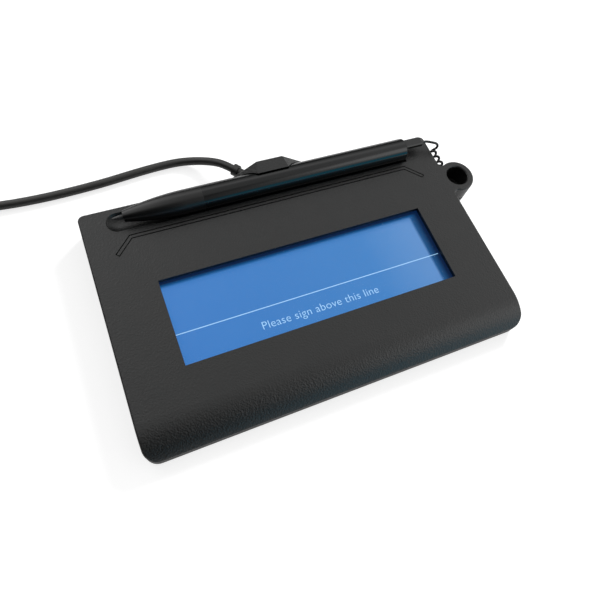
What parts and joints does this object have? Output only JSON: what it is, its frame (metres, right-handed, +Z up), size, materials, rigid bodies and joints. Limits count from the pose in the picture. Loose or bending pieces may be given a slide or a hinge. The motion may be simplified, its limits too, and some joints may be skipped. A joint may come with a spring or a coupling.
{
  "type": "signature pad",
  "caption": "Desktop signature pad: a shallow case with a backlit signing window, a tethered pen in a trough under a hump, a pen well beside it and a USB lead.",
  "frame": {"origin": "on the desk under the middle of the pad, its pen well included and its USB lead left out", "axes": "+X to the pen well's side, +Y to the rear where the lead leaves, +Z up"},
  "size_m": [0.2695, 0.1313, 0.0208],
  "materials": {
    "case": "satin, fine leather grain",
    "foot": "matt",
    "screw": "zinc plated",
    "tape": "matt black film",
    "lens": "clear, hard coated",
    "cell": "lit blue",
    "display_frame": "white moulding",
    "guide": "clear",
    "lamps": "white",
    "reflector": "white film",
    "board": "solder resist",
    "shield": "rolled",
    "chip": "moulded",
    "can": "drawn",
    "connector": "ivory",
    "ribbon": "amber film",
    "wire": "soft",
    "gland": "soft, matt",
    "nib": "smooth",
    "pen": "polished",
    "ferrite": "sintered",
    "winding": "lacquered copper wire",
    "switch": "moulded",
    "tether": "satin",
    "cable": "satin",
    "tie": "woven band",
    "plug": "moulded",
    "shell": "nickel plated",
    "tongue": "moulded",
    "contact": "gold plated"
  },
  "bodies": {
    "pad": {"top_cover": "case", "bottom_cover": "case", "rubber_feet": "foot", "case_screws": "screw", "board_screws": "screw", "window_tape": "tape", "clear_lens": "lens", "display_cell": "cell", "display_frame": "display_frame", "light_guide": "guide", "led_strip": "lamps", "reflector_sheet": "reflector", "sensor_board": "board", "controller_board": "board", "shield_sheet": "shield", "main_chip": "chip", "crystal": "can", "display_connector": "connector", "sensor_connector": "connector", "usb_header": "connector", "display_ribbon": "ribbon", "sensor_ribbon": "ribbon", "inner_wires": "wire", "cable_gland": "gland", "tether_cord": "tether", "tether_anchor": "tether", "usb_cable": "cable", "usb_coil": "cable", "usb_tail": "cable", "cable_tie": "tie", "usb_plug_body": "plug", "usb_plug_shell": "shell", "usb_plug_tongue": "tongue", "usb_plug_contacts": "contact"},
    "pen": {"pen_nose": "pen", "pen_barrel": "pen", "pen_tail_cap": "pen", "ferrite_core": "ferrite", "sensing_coil": "winding", "tip_switch": "switch", "pen_circuit": "board"},
    "nib": {"pen_nib": "nib"}
  },
  "joints": [
    {"name": "pen_lift", "type": "slide", "parent": "pad", "child": "pen", "axis": [0, -0.8192, 0.5736], "range_m": [0, 0.016], "deforming": ["tether_cord"]},
    {"name": "nib_press", "type": "slide", "parent": "pen", "child": "nib", "axis": [1, 0, 0], "range_m": [0, 0.0008], "stiffness_N_per_m": 200, "springref_m": -0.0002}
  ]
}
